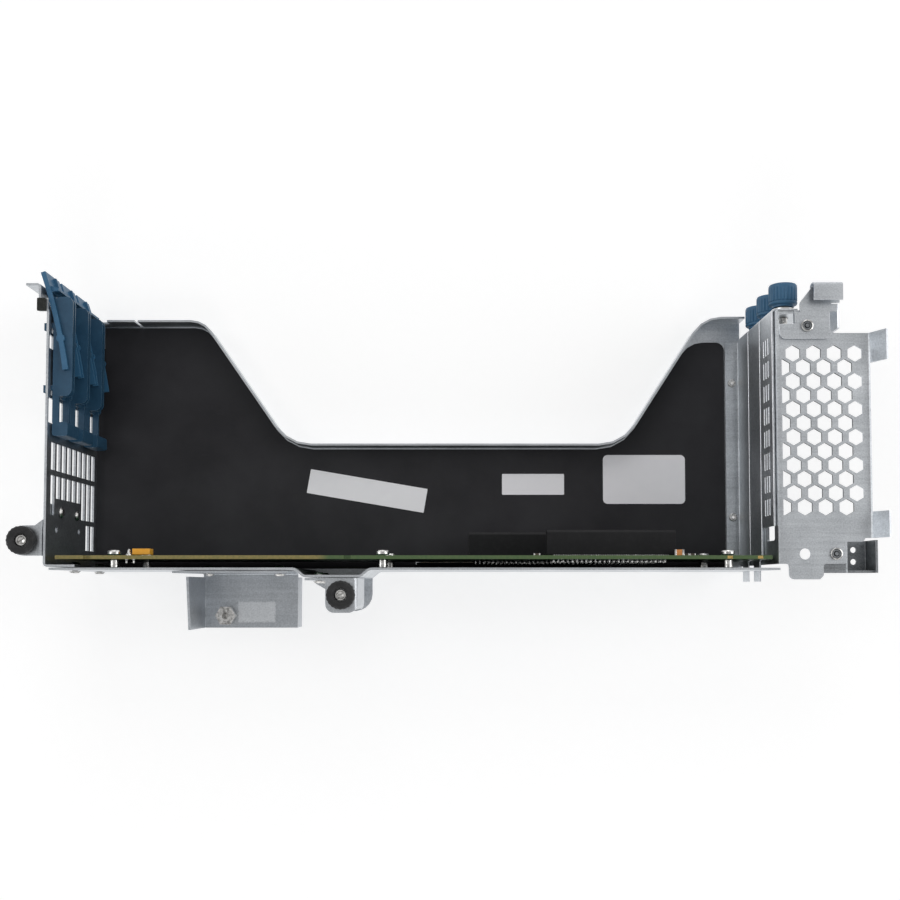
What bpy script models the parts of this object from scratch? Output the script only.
"""Riser card assembly of a rack server: a riser board in a folded steel cage for three long cards.

The cage lies on its floor plate. X runs along the cage from the front wall to the rear frame,
Y runs from the riser side wall to the open side, and Z runs up from the floor plate's underside.
The origin is on that underside, in the middle of the plate's narrow span. All sizes are in metres.
"""
import math

import bmesh
import bpy
from mathutils import Matrix, Vector

# Sheet metal and fits
SHEET = 0.0010
FOLD = 0.0006
FIT = 0.0003
ARC_STEP = math.radians(20)
SMALL_RADIUS = 0.0018
ROUND_SIDES = 16

# Cage body
CAGE_LENGTH = 0.3131
BRIDGE_DEPTH = 0.0610
FRONT_DECK_DEPTH = 0.1203
REAR_DECK_DEPTH = 0.1219
FRONT_DECK_LENGTH = 0.0546
REAR_DECK_LENGTH = 0.0199
FRONT_SLOPE_RUN = 0.0410
REAR_SLOPE_RUN = 0.0391
FRONT_DECK_RADIUS = 0.012
BRIDGE_RADIUS = 0.020
REAR_DECK_RADIUS = 0.016
RIM_HEIGHT = 0.0120
RIM_SLIT_AT = 0.0215
RIM_SLIT_WIDTH = 0.0014
WALL_FRONT_SETBACK = 0.0025

# Pocket in the riser side wall and the screw lobe below it
POCKET_AT = 0.1105
POCKET_LENGTH = 0.0245
POCKET_DEPTH = 0.0031
POCKET_RAMP = 0.0036
POCKET_RADIUS = 0.0030
LOBE_RADIUS = 0.0082
LOBE_REACH = 0.0106
LOBE_BORE_RADIUS = 0.0032

# Card slots
SLOT_COUNT = 3
SLOT_PITCH = 0.02032
FIRST_SLOT_HEIGHT = 0.0165
TOP_SLOT_DROP = 0.01086

# Insulator film
FILM_THICKNESS = 0.0003
FILM_MARGIN = 0.0006
FILM_FRONT_GAP = 0.0045
FILM_CORNER_RADIUS = 0.0040
FILM_REAR_DROP = 0.0103

# Front wall
WALL_FOOT_LENGTH = 0.0135
WALL_STRAIGHT_DEPTH = 0.1115
WALL_JOG_RUN = 0.0016
WALL_JOG_DEPTH = 0.0036
WALL_TOP_DEPTH = 0.1231
WALL_FLANGE_REACH = 0.0060
WALL_EAR_SPAN = (0.1110, 0.1166)
VENT_COLUMNS = 9
VENT_FIRST_HEIGHT = 0.0070
VENT_TOP_MARGIN = 0.00756
VENT_WIDTH = 0.0047
VENT_UPPER_ROW = (0.0434, 0.0552)
VENT_MIDDLE_ROW = (0.0313, 0.0410)
VENT_LONG_BOTTOM = 0.0238
VENT_LOWER_ROW = (0.0098, 0.0215)
VENT_LONG_COLUMNS = (0, 1, 2, 8)
VENT_LOWER_COLUMNS = (0, 1)

# Card latches, sizes in the frame of a latch pivot
PIVOT_FROM_WALL = 0.0041
PIVOT_DEPTH = 0.0998
HOUSING_BELOW = 0.0249
HOUSING_ABOVE = 0.0183
HOUSING_BACK_GAP = 0.0006
HOUSING_REACH = 0.0048
HOUSING_SHORT_REACH = 0.0002
HOUSING_SPACING = 0.00612
CHEEK_THICKNESS = 0.0011
CHEEK_RADIUS = 0.0030
INNER_PLATE_INSET = 0.0037
INNER_PLATE = 0.0009
GUIDE_RIB_INSET = 0.0050
GUIDE_RIB = 0.0010
STRUT_LENGTH = 0.0115
STRUT_DEPTH = 0.0028
STRUT_WIDTH = 0.0012
FOOT_HEIGHT = 0.0057
FOOT_REACH = 0.0032
HOOK_LEVELS = (0.0048, -0.0222)
HOOK_HEIGHT = 0.0041
HOOK_NECK = 0.0022
HOOK_INSET = 0.0001
HOOK_BARB = 0.0018
WINDOW_DROP = 0.0116
WINDOW_HEIGHT = 0.0106
WINDOW_INSETS = (0.00156, 0.00036)
PEEP_DROP = 0.0045
PEEP_HEIGHT = 0.0057
PEEP_WIDTH = 0.0048
BOSS_RADIUS = 0.0009
BOSS_PROUD = 0.0006
BOSS_PAD_RADIUS = 0.0019
LEVER_GAP = 0.0004
LEVER_LEG = 0.0012
LEVER_BELOW = 0.0136
LEVER_ABOVE = 0.0288
LEVER_LEAN = 0.205
LEVER_BOW_RADIUS = 0.2083
LEVER_THICKNESS = 0.0020
LEVER_TIP_THICKNESS = 0.0024
LEVER_HUB_RADIUS = 0.0018
LEVER_WEB_START = 0.0200
LEVER_LIP_REACH = 0.0036
LEVER_SWING_CLEARANCE = 0.0032
LEVER_RIB_WIDTH = 0.0012
LEVER_RIB_PROUD = 0.0015

# Rear frame
FOOT_FLANGE = 0.0064
REAR_WALL_FOOT = 0.0026
SHELF_DROP = 0.0106
SHELF_LENGTH = 0.0125
SLOT_OPENING_WIDTH = 0.01206
SLOT_OPENING_BOTTOM = 0.0128
SLOT_OPENING_DROP = 0.0083
PLATE_REACH = 0.0392
PLATE_TOP_DROP = 0.0098
PLATE_SHOULDER = 0.0225
TAB_SPAN = (0.0037, 0.0183)
TAB_DROP = 0.0066
TAB_RADIUS = 0.0022
TAB_CHAMFER = 0.0016
HOOK_RISE = 0.0093
HOOK_LEAN = 0.0044
UPPER_CATCH_HEIGHT = 0.0129
LOWER_CATCH = (0.0136, 0.0248)
HEX_FLATS = 0.00615
HEX_PITCH = 0.00884
HEX_ROW_PITCH = 0.0060
HEX_BOTTOM = 0.0220
HEX_FIRST_AT = 0.0064
HEX_TOP_DROP = 0.0088
HEX_COLUMNS = 4
HEX_CUT = 0.0004
CORNER_STEP = 0.0120
SCREW_NOTCH = (0.0004, 0.0066)
SCREW_NOTCH_DROP = 0.0088
PLATE_HOLE_AT = 0.0106
PLATE_HOLE_LEVEL = 0.0068
PLATE_HOLE_RADIUS = 0.0024

# Slot covers and their screws
COVER_THICKNESS = 0.00086
COVER_SPACING = 0.0019
COVER_TONGUE_WIDTH = 0.01019
COVER_TONGUE_LENGTH = 0.0092
COVER_TONGUE_DROP = 0.0049
COVER_TAPER = 0.0026
COVER_TAB = 0.0110
SHORT_COVER_BOTTOM = 0.0188
COVER_VENT_PITCH = 0.0100
COVER_VENT_MARGIN = 0.0105
COVER_VENT_SIZE = (0.0018, 0.0070)
COVER_SCREW_FROM_WALL = 0.0055
COVER_SCREW_RADIUS = 0.0019
COVER_SCREW_BELOW_SHELF = 0.0032
WASHER_RADIUS = 0.0046
WASHER_THICKNESS = 0.0018
KNOB_RADIUS = 0.00615
KNOB_HEIGHT = 0.0102
KNOB_FLUTES = 18
KNOB_FLUTE_DEPTH = 0.00022
KNOB_BORE_DEPTH = 0.0050

# Catch bracket and corner clip
CATCH_FOOT_AT = 0.0006
CATCH_FOOT_WIDTH = 0.0218
CATCH_FOOT_DROP = 0.0126
CATCH_NECK_AT = 0.0094
CATCH_NECK_DROP = 0.0013
CATCH_SLOPE_RISE = 0.0030
CATCH_HEAD_AT = 0.0140
CATCH_HEAD_WIDTH = 0.0124
CATCH_RISE = 0.0111
CATCH_HOOK_HEIGHT = 0.0047
CATCH_HOOK_LENGTH = 0.0080
CATCH_FLANGE_AT = 0.0262
CATCH_FLANGE_SPAN = (-0.0078, 0.0025)
CATCH_FLANGE_DROP = 0.0138
CLIP_SPAN = (-0.0012, 0.0128)
CLIP_LAND_AT = 0.0180
CLIP_STEP_AT = 0.0290
CLIP_STEP_DEPTH = 0.0105
CLIP_END_AT = 0.0409
CLIP_HOLE_RADIUS = 0.0013
CATCH_RIVET = (0.0122, 0.0070)
CLIP_RIVET = (0.0237, 0.0069)

# Riser board and what stands on it
BOARD_THICKNESS = 0.0016
BOARD_STANDOFF = 0.0037
BOARD_FRONT_GAP = 0.0040
BOARD_BOTTOM = 0.0034
BOARD_TOP_DROP = 0.0020
BOARD_NOTCHES = (0.0165, 0.1275)
BOARD_NOTCH_SIZE = (0.0030, 0.0020)
TONGUE_AT = 0.1570
TONGUE_LENGTH = 0.0840
TONGUE_DROP = 0.0028
TONGUE_KEY = 0.0019
TONGUE_KEY_AT = 0.0120
CONNECTOR_HEIGHT = 0.0108
CONNECTOR_WIDTH = 0.0075
CONNECTOR_REAR_AT = 0.0430
CONNECTOR_LONG = 0.0890
CONNECTOR_SHORT = 0.0555
CARD_SLIT = 0.0018
CARD_SLIT_DEPTH = 0.0085
CARD_KEY_AT = 0.0115
CARD_KEY = 0.0016
BOARD_SCREW_PLACES = (0.0281, 0.1438, 0.2927)
BOARD_SCREW_INSETS = (0.0061, 0.0060)
BOARD_SCREW_HEAD_RADIUS = 0.00265
BOARD_SCREW_HEAD = 0.0018
BOARD_SCREW_RADIUS = 0.0012
STANDOFF_RADIUS = 0.0020
HEADER_AT = 0.0369
HEADER_LENGTH = 0.0077
HEADER_HEIGHT = 0.0026
HEADER_DEPTH = 0.0060

# Rivets
RIVET_RADIUS = 0.0012
RIVET_HEAD_RADIUS = 0.0026
RIVET_HEAD = 0.0009
FRONT_RIVET_AT = 0.0084
FRONT_RIVET_INSETS = (0.0180, 0.0160)
REAR_RIVET_INSETS = (0.0264, 0.0198)
EYELET_BORE = 0.0007
EYELET_HEAD_RADIUS = 0.0021
EYELET_HEAD = 0.0005

# Captive screws and their brackets
CAPTIVE_RADIUS = 0.00613
CAPTIVE_HEIGHT = 0.0042
CAPTIVE_BORE = 0.0027
CAPTIVE_FLUTES = 20
CAPTIVE_SCREW_RADIUS = 0.0021
CAPTIVE_SCREW_HEAD = 0.0024
CAPTIVE_SCREW_LENGTH = 0.0150
ARM_PLATE_DROP = 0.0005
ARM_WIDTH = 0.0131
ARM_BOTTOM = 0.0060
ARM_SCREW_REACH = 0.0085
ARM_FLANGE_TOP = 0.0290
ARM_FLANGE_BOTTOM = 0.0220
ARM_HOLE_PLACES = ((0.0256, 0.0182), (0.0549, 0.0176))
ARM_HOLE_RADIUS = 0.0014
ARM_RIVET_LEVELS = (0.0290, 0.0497)
ARM_RIVET_DEPTH = 0.0255
MIDDLE_TOP_REACH = 0.0148
MIDDLE_HALF_WIDTH = 0.0068
MIDDLE_DROP = 0.0360
MIDDLE_LOWER_LENGTH = 0.0225
MIDDLE_FLANGE_HEIGHT = 0.0300
MIDDLE_NOSE_RADIUS = 0.0037
MIDDLE_RIVET_DROPS = (0.0230, 0.0050)
MIDDLE_RIVET_FROM_SIDE = 0.0032

# Side bracket below the riser side wall
SIDE_AT = 0.0609
SIDE_LENGTH = 0.0428
SIDE_REACH = 0.0256
SIDE_LEVEL = 0.0340
SIDE_RETURN = 0.0130
SIDE_EAR = 0.0060
SIDE_RIVETS = (0.0060, 0.0370)
SIDE_STUD_FROM_END = 0.0100
SIDE_STUD_DEPTH = 0.0200
SIDE_STUD_FLATS = 0.0080
SIDE_STUD_HEIGHT = 0.0050
SIDE_STUD_BORE = 0.0019

# Derived places
HOUSING_HALF_WIDTH = (SLOT_PITCH - HOUSING_SPACING) / 2
LEVER_HALF_WIDTH = HOUSING_HALF_WIDTH + LEVER_GAP + LEVER_LEG
WINDOW_BELOW, WINDOW_ABOVE = (SLOT_PITCH / 2 - inset for inset in WINDOW_INSETS)
COVER_WIDTH = SLOT_PITCH - COVER_SPACING
FRONT_X = -CAGE_LENGTH / 2
REAR_X = CAGE_LENGTH / 2
BASE_Y = -BRIDGE_DEPTH / 2
SLOT_PLANES = [FIRST_SLOT_HEIGHT + SLOT_PITCH * index for index in range(SLOT_COUNT)]
CAGE_HEIGHT = SLOT_PLANES[-1] + TOP_SLOT_DROP
VENT_PITCH = (CAGE_HEIGHT - VENT_FIRST_HEIGHT - VENT_TOP_MARGIN) / (VENT_COLUMNS - 1)
BOARD_TOP = CAGE_HEIGHT - BOARD_TOP_DROP
BOARD_SCREW_ROWS = (BOARD_BOTTOM + BOARD_SCREW_INSETS[0], BOARD_TOP - BOARD_SCREW_INSETS[1])
FOLD_CENTRE = FOLD + SHEET / 2
REAR_INNER_X = REAR_X - SHEET
PLATE_LEVEL = CAGE_HEIGHT - SHEET / 2
PIVOT_X = FRONT_X + SHEET + PIVOT_FROM_WALL
PIVOT_Y = BASE_Y + PIVOT_DEPTH
BOARD_Y = BASE_Y + SHEET + BOARD_STANDOFF
BOARD_FACE_Y = BOARD_Y + BOARD_THICKNESS
COVER_X = REAR_INNER_X - FIT - COVER_THICKNESS / 2
SHELF_Y = BASE_Y + REAR_DECK_DEPTH - SHELF_DROP
PLATE_TOP_Y = SHELF_Y - PLATE_TOP_DROP
COVER_TAB_Y = SHELF_Y + FIT + COVER_THICKNESS / 2
COVER_SCREW_X = REAR_X + COVER_SCREW_FROM_WALL
POCKET_MIDDLE_X = FRONT_X + POCKET_AT + POCKET_LENGTH * 0.66


def clear_scene():
    """Remove whatever the scene holds."""
    for item in list(bpy.data.objects):
        bpy.data.objects.remove(item, do_unlink=True)


def material(name, colour, roughness, metallic=0.0):
    """A Principled material."""
    made = bpy.data.materials.new(name)
    made.use_nodes = True
    shader = made.node_tree.nodes["Principled BSDF"]
    shader.inputs["Base Color"].default_value = (*colour, 1.0)
    shader.inputs["Roughness"].default_value = roughness
    shader.inputs["Metallic"].default_value = metallic
    made.diffuse_color = (*colour, 1.0)
    return made


# Outlines

def fillet(corner, heading_in, heading_out, radius):
    """Points of the arc that rounds one corner between two headings."""
    turn = heading_in.angle_signed(heading_out)
    if radius < 1e-6 or abs(turn) < 1e-4:
        return [corner]
    side = -1.0 if turn > 0 else 1.0
    tangent = radius * math.tan(abs(turn) / 2)
    start = corner - heading_in * tangent
    centre = start + Vector((-heading_in.y, heading_in.x)) * radius * side
    steps = 2 if radius < SMALL_RADIUS else max(2, math.ceil(abs(turn) / ARC_STEP))
    arm = start - centre
    turns = [side * abs(turn) * index / steps for index in range(steps + 1)]
    return [centre + Matrix.Rotation(angle, 2) @ arm for angle in turns]


def offset_path(corners, offset=0.0):
    """Points of an open path of (x, y, radius) corners, moved to its left and rounded."""
    points = [Vector(corner[:2]) for corner in corners]
    headings = [(b - a).normalized() for a, b in zip(points, points[1:])]
    normals = [Vector((-heading.y, heading.x)) for heading in headings]
    moved = [points[0] + normals[0] * offset]
    for point, before, after in zip(points[1:-1], normals, normals[1:]):
        moved.append(point + (before + after) * (offset / (1.0 + before.dot(after))))
    moved.append(points[-1] + normals[-1] * offset)
    rounded = [moved[0]]
    for index in range(1, len(moved) - 1):
        before, after = headings[index - 1], headings[index]
        left_turn = before.x * after.y - before.y * after.x > 0
        radius = corners[index][2] - (offset if left_turn else -offset)
        rounded += fillet(moved[index], before, after, radius if corners[index][2] > 0 else 0)
    rounded.append(moved[-1])
    return rounded


def rounded_outline(corners):
    """Points of a closed outline of (x, y, radius) corners."""
    points = [Vector(corner[:2]) for corner in corners]
    outline = []
    for index, point in enumerate(points):
        before = (point - points[index - 1]).normalized()
        after = (points[(index + 1) % len(points)] - point).normalized()
        outline += fillet(point, before, after, corners[index][2])
    return outline


def rectangle(low_u, low_v, high_u, high_v, radius=0.0):
    """A rectangular outline with rounded corners."""
    corners = [(low_u, low_v), (high_u, low_v), (high_u, high_v), (low_u, high_v)]
    return rounded_outline([(u, v, radius) for u, v in corners])


def circle(u, v, radius, sides=ROUND_SIDES, phase=0.0):
    """A round or regular outline."""
    angles = [phase + math.tau * index / sides for index in range(sides)]
    return [Vector((u + radius * math.cos(angle), v + radius * math.sin(angle))) for angle in angles]


def corner_waste(x, y, side_x, side_y, radius, steps=5):
    """The waste outside a rounded corner at (x, y) that points towards side_x and side_y."""
    centre = Vector((x - side_x * radius, y - side_y * radius))
    angles = [math.pi / 2 * index / steps for index in range(steps + 1)]
    arc = [centre + radius * Vector((side_x * math.cos(angle), side_y * math.sin(angle))) for angle in angles]
    return arc + [
        Vector((centre.x, y + side_y * SHEET)),
        Vector((x + side_x * SHEET, y + side_y * SHEET)),
        Vector((x + side_x * SHEET, centre.y)),
    ]


def strip_outline(corners, thickness=SHEET):
    """The section of a folded sheet whose middle line is the path of corners."""
    return offset_path(corners, thickness / 2) + offset_path(corners, -thickness / 2)[::-1]


# Solids

AXES = {
    "X": lambda u, v, w: Vector((w, u, v)),
    "Y": lambda u, v, w: Vector((u, w, v)),
    "Z": lambda u, v, w: Vector((u, v, w)),
}


def add_prism(bm, outline, low, high, axis):
    """Extrude one outline from low to high along an axis."""
    place = AXES[axis]
    face = bm.faces.new([bm.verts.new(place(point[0], point[1], low)) for point in outline])
    grown = bmesh.ops.extrude_face_region(bm, geom=[face])
    top = [item for item in grown["geom"] if isinstance(item, bmesh.types.BMVert)]
    bmesh.ops.translate(bm, verts=top, vec=place(0.0, 0.0, high - low))


def finish(bm, name, finish_material=None, smooth=False):
    """Turn a bmesh into a named object."""
    bmesh.ops.recalc_face_normals(bm, faces=bm.faces)
    mesh = bpy.data.meshes.new(name)
    bm.to_mesh(mesh)
    bm.free()
    made = bpy.data.objects.new(name, mesh)
    bpy.context.scene.collection.objects.link(made)
    if finish_material:
        mesh.materials.append(finish_material)
    if smooth:
        mesh.shade_smooth()
        mesh.set_sharp_from_angle(angle=math.radians(30))
    return made


def prism(name, outline, low, high, axis="Z", finish_material=None):
    """A solid extruded from one outline."""
    bm = bmesh.new()
    add_prism(bm, outline, low, high, axis)
    return finish(bm, name, finish_material)


def prisms(name, shapes, axis="Z"):
    """Several separate prisms in one object, each an (outline, low, high)."""
    bm = bmesh.new()
    for outline, low, high in shapes:
        add_prism(bm, outline, low, high, axis)
    return finish(bm, name)


def folded_up(name, corners, height, fold):
    """A wall of sheet along a path, its foot rounded as where it folds from the floor."""
    outer = offset_path(corners, 0.0)
    inner = offset_path(corners, fold)
    bm = bmesh.new()
    add_prism(bm, outer + inner[::-1], 0.0, height, "Z")
    bm.verts.ensure_lookup_table()
    foot = set(bm.verts[:len(outer)])
    edges = [edge for edge in bm.edges if set(edge.verts) <= foot]
    bmesh.ops.bevel(bm, geom=edges, offset=FOLD, segments=2, affect="EDGES", profile=0.5)
    return finish(bm, name)


def turned(name, profile, finish_material=None, sides=ROUND_SIDES):
    """A solid turned about its own Z axis from (radius, height) points, axis to axis."""
    bm = bmesh.new()
    verts = [bm.verts.new((radius, 0.0, height)) for radius, height in profile]
    edges = [bm.edges.new(pair) for pair in zip(verts, verts[1:])]
    bmesh.ops.spin(
        bm, geom=verts + edges, cent=(0, 0, 0), axis=(0, 0, 1), angle=math.tau, steps=sides)
    bmesh.ops.remove_doubles(bm, verts=bm.verts, dist=1e-6)
    return finish(bm, name, finish_material, smooth=True)


def fluted(name, profile, flutes, depth, finish_material, closed=False):
    """A turned solid with flutes: (radius, height, share of the flute depth) points."""
    bm = bmesh.new()
    count = flutes * 2
    rings = []
    for radius, height, share in profile:
        ring = []
        for index in range(count):
            reach = radius - (depth * share if index % 2 else 0.0)
            angle = math.tau * index / count
            ring.append(bm.verts.new((reach * math.cos(angle), reach * math.sin(angle), height)))
        rings.append(ring)
    pairs = list(zip(rings, rings[1:]))
    if closed:
        pairs.append((rings[-1], rings[0]))
    else:
        bm.faces.new(rings[0])
        bm.faces.new(rings[-1])
    for lower, upper in pairs:
        for index in range(count):
            after = (index + 1) % count
            bm.faces.new((lower[index], lower[after], upper[after], upper[index]))
    return finish(bm, name, finish_material, smooth=True)


def combine(target, tool, operation):
    """Add an exact Boolean of a hidden tool to an object."""
    tool.hide_render = True
    tool.display_type = "WIRE"
    step = target.modifiers.new(tool.name, "BOOLEAN")
    step.operation = operation
    step.solver = "EXACT"
    step.object = tool


def cut(target, tool):
    """Cut a hidden tool out of an object."""
    combine(target, tool, "DIFFERENCE")


def join(target, tool):
    """Join a hidden tool to an object."""
    combine(target, tool, "UNION")


# Cage

def deck_corners(start_x):
    """The open edge of the floor plate, from the front to the rear."""
    front_y = BASE_Y + FRONT_DECK_DEPTH
    bridge_y = BASE_Y + BRIDGE_DEPTH
    rear_y = BASE_Y + REAR_DECK_DEPTH
    front_end = FRONT_X + FRONT_DECK_LENGTH
    rear_end = REAR_X - REAR_DECK_LENGTH
    return [
        (start_x, front_y, 0),
        (front_end, front_y, FRONT_DECK_RADIUS),
        (front_end + FRONT_SLOPE_RUN, bridge_y, BRIDGE_RADIUS),
        (rear_end - REAR_SLOPE_RUN, bridge_y, BRIDGE_RADIUS),
        (rear_end, rear_y, REAR_DECK_RADIUS),
        (REAR_X, rear_y, 0),
    ]


def base_corners(start_x):
    """The riser side edge of the floor plate with its pocket, from the front to the rear."""
    pocket_start = FRONT_X + POCKET_AT
    pocket_end = pocket_start + POCKET_LENGTH
    pocket_y = BASE_Y - POCKET_DEPTH
    return [
        (start_x, BASE_Y, 0),
        (pocket_start - POCKET_RAMP, BASE_Y, POCKET_RADIUS),
        (pocket_start, pocket_y, POCKET_RADIUS),
        (pocket_end, pocket_y, POCKET_RADIUS),
        (pocket_end + POCKET_RAMP, BASE_Y, POCKET_RADIUS),
        (REAR_X, BASE_Y, 0),
    ]


def screw_lobe_centre():
    """The place of the middle captive screw."""
    return Vector((POCKET_MIDDLE_X, BASE_Y - LOBE_REACH))


def tongue_slot():
    """The opening in the floor for the board's edge tongue."""
    x = FRONT_X + TONGUE_AT
    margin = 4 * FIT
    return rectangle(x - margin, BOARD_Y - margin, x + TONGUE_LENGTH + margin, BOARD_FACE_Y + margin)


def build_cage(steel):
    """The floor plate, the riser side wall and the rim, folded from one sheet."""
    inset = (FOLD + SHEET) / 2
    floor_outline = offset_path(base_corners(FRONT_X), inset)
    floor_outline += offset_path(deck_corners(FRONT_X), -inset)[::-1]
    cage = prism("cage_base", floor_outline, 0.0, SHEET, finish_material=steel)
    rim_start = FRONT_X + SHEET + FIT
    join(cage, folded_up("rim", deck_corners(rim_start), RIM_HEIGHT, -SHEET))
    join(cage, folded_up("side_wall", base_corners(FRONT_X + WALL_FRONT_SETBACK), CAGE_HEIGHT, SHEET))
    lobe = screw_lobe_centre()
    inside_y = BASE_Y - POCKET_DEPTH + SHEET
    join(cage, prism("screw_lobe", rounded_outline([
        (lobe.x - LOBE_RADIUS, lobe.y - LOBE_RADIUS, LOBE_RADIUS),
        (lobe.x + LOBE_RADIUS, lobe.y - LOBE_RADIUS, LOBE_RADIUS),
        (lobe.x + LOBE_RADIUS, inside_y, 0),
        (lobe.x - LOBE_RADIUS, inside_y, 0),
    ]), 0.0, SHEET))
    rivet_hole = RIVET_RADIUS + FIT
    slit_x = FRONT_X + RIM_SLIT_AT
    rim_y = BASE_Y + FRONT_DECK_DEPTH
    through_floor = [
        (circle(lobe.x, lobe.y, LOBE_BORE_RADIUS), -SHEET, 2 * SHEET),
        (rectangle(slit_x, rim_y - SHEET - FIT, slit_x + RIM_SLIT_WIDTH, rim_y + SHEET),
         2 * SHEET, 2 * RIM_HEIGHT),
        (rectangle(FRONT_X, rim_y - 2 * SHEET, PIVOT_X + LEVER_SWING_CLEARANCE, rim_y + SHEET),
         SLOT_PLANES[0] - LEVER_HALF_WIDTH - 2 * FIT, 2 * RIM_HEIGHT),
        (tongue_slot(), -SHEET, 2 * SHEET),
    ]
    for place in rear_rivet_places():
        through_floor.append((circle(place.x, place.y, rivet_hole), -SHEET, 2 * SHEET))
    cut(cage, prisms("floor_cuts", through_floor))
    wall_low = BASE_Y - POCKET_DEPTH - SHEET
    wall_high = BASE_Y + 2 * SHEET
    through_wall = []
    notch = COVER_TONGUE_WIDTH / 2 + FIT
    for plane in SLOT_PLANES[:2]:
        opening = rectangle(COVER_X - COVER_THICKNESS - FIT, plane - notch, REAR_X + SHEET, plane + notch)
        through_wall.append((opening, wall_low, wall_high))
    for place in wall_rivet_places():
        through_wall.append((circle(place.x, place.z, rivet_hole), wall_low, wall_high))
    cut(cage, prisms("wall_cuts", through_wall, axis="Y"))
    return cage


def build_film(black):
    """The insulator film on the floor plate, inside the rim."""
    left = FRONT_X + FILM_FRONT_GAP
    right = REAR_X - SHEET - FOOT_FLANGE - FIT
    low = BASE_Y + SHEET + FILM_MARGIN
    edge = offset_path(deck_corners(left), -SHEET - FILM_MARGIN)
    top = BASE_Y + REAR_DECK_DEPTH - FILM_REAR_DROP
    outline = [Vector((left, low)), Vector((right, low))]
    below = [point for point in edge if point.y < top or point.x < 0]
    last, after = below[-1], edge[len(below)]
    reach = last.x + (after.x - last.x) * (top - last.y) / (after.y - last.y)
    head = rounded_outline([
        (right, low, 0), (right, top, FILM_CORNER_RADIUS), (reach, top, 3 * FILM_CORNER_RADIUS),
        (last.x, last.y, 0)])
    outline += head[1:-1] + below[::-1]
    bottom = SHEET + FIT
    film = prism("insulator_film", outline, bottom, bottom + FILM_THICKNESS, finish_material=black)
    foot = FRONT_X + WALL_FOOT_LENGTH + FIT
    corner = rectangle(left - SHEET, low - SHEET, foot, BASE_Y + 2 * SHEET + 2 * FIT)
    cut(film, prisms("film_cuts", [(shape, 0.0, RIM_HEIGHT) for shape in (corner, tongue_slot())]))
    return film


# Front wall

def latch_window_cuts():
    """The openings that each latch needs in the front wall."""
    shapes = []
    x_low, x_high = FRONT_X - SHEET, FRONT_X + 2 * SHEET
    window = PIVOT_Y - HOUSING_BELOW - WINDOW_DROP
    peep = PIVOT_Y - PEEP_DROP
    for plane in SLOT_PLANES:
        shapes.append((rectangle(
            window, plane - WINDOW_BELOW, window + WINDOW_HEIGHT, plane + WINDOW_ABOVE), x_low, x_high))
        shapes.append((rectangle(
            peep, plane + WINDOW_ABOVE - PEEP_WIDTH, peep + PEEP_HEIGHT, plane + WINDOW_ABOVE),
            x_low, x_high))
        for level in HOOK_LEVELS:
            low, high = PIVOT_Y + level - HOOK_HEIGHT / 2 - FIT, PIVOT_Y + level + HOOK_HEIGHT / 2 + FIT
            for side in (-1, 1):
                start, end = sorted((
                    plane + side * (HOUSING_HALF_WIDTH - CHEEK_THICKNESS - FIT),
                    plane + side * (HOUSING_HALF_WIDTH + FIT)))
                shapes.append((rectangle(low, start, high, end), x_low, x_high))
    return shapes


def vent_cuts():
    """The rows of vent slots low in the front wall."""
    shapes = []
    for column in range(VENT_COLUMNS):
        height = VENT_FIRST_HEIGHT + VENT_PITCH * column
        bottom = VENT_LONG_BOTTOM if column in VENT_LONG_COLUMNS else VENT_MIDDLE_ROW[0]
        rows = [VENT_UPPER_ROW, (bottom, VENT_MIDDLE_ROW[1])]
        if column in VENT_LOWER_COLUMNS:
            rows.append(VENT_LOWER_ROW)
        for low, high in rows:
            shapes.append((rectangle(
                BASE_Y + low, height - VENT_WIDTH / 2, BASE_Y + high, height + VENT_WIDTH / 2),
                FRONT_X - SHEET, FRONT_X + 2 * SHEET))
    return shapes


def arm_hole_shapes(low, high):
    """The rivet and pilot holes shared by the front wall and the front arm."""
    shapes = []
    for level in ARM_RIVET_LEVELS:
        shapes.append((circle(BASE_Y + ARM_RIVET_DEPTH, level, RIVET_RADIUS + FIT, 12), low, high))
    for level, depth in ARM_HOLE_PLACES:
        shapes.append((circle(BASE_Y + depth, level, ARM_HOLE_RADIUS, 12), low, high))
    return shapes


def build_front_wall(steel):
    """The slotted wall at the card latches, jogged outward at its top for the levers."""
    middle = FRONT_X + SHEET / 2
    foot_y = BASE_Y + SHEET + FIT + SHEET / 2
    jogged = middle - WALL_JOG_DEPTH
    top_y = BASE_Y + WALL_TOP_DEPTH - SHEET / 2
    section = strip_outline([
        (FRONT_X + WALL_FOOT_LENGTH, foot_y, 0),
        (middle, foot_y, FOLD_CENTRE),
        (middle, BASE_Y + WALL_STRAIGHT_DEPTH, FOLD_CENTRE),
        (jogged, BASE_Y + WALL_STRAIGHT_DEPTH + WALL_JOG_RUN, FOLD_CENTRE),
        (jogged, top_y, FOLD_CENTRE),
        (jogged - WALL_FLANGE_REACH, top_y, 0),
    ])
    wall = prism("front_wall", section, SHEET + FIT, CAGE_HEIGHT, finish_material=steel)
    ear_low, ear_high = (BASE_Y + depth for depth in WALL_EAR_SPAN)
    join(wall, prism("wall_ear", rectangle(jogged - SHEET / 4, ear_low, FRONT_X + SHEET / 2, ear_high),
                     CAGE_HEIGHT - SHEET, CAGE_HEIGHT - FOLD / 4))
    cut(wall, prisms("wall_slots", vent_cuts() + latch_window_cuts()
                     + arm_hole_shapes(FRONT_X - SHEET, FRONT_X + 2 * SHEET), axis="X"))
    rivets = []
    for place in front_rivet_places():
        rivets.append((circle(place.x, place.z, RIVET_RADIUS + FIT, 12), BASE_Y, BASE_Y + 4 * SHEET))
    cut(wall, prisms("foot_holes", rivets, axis="Y"))
    return wall


# Card latches

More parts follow.
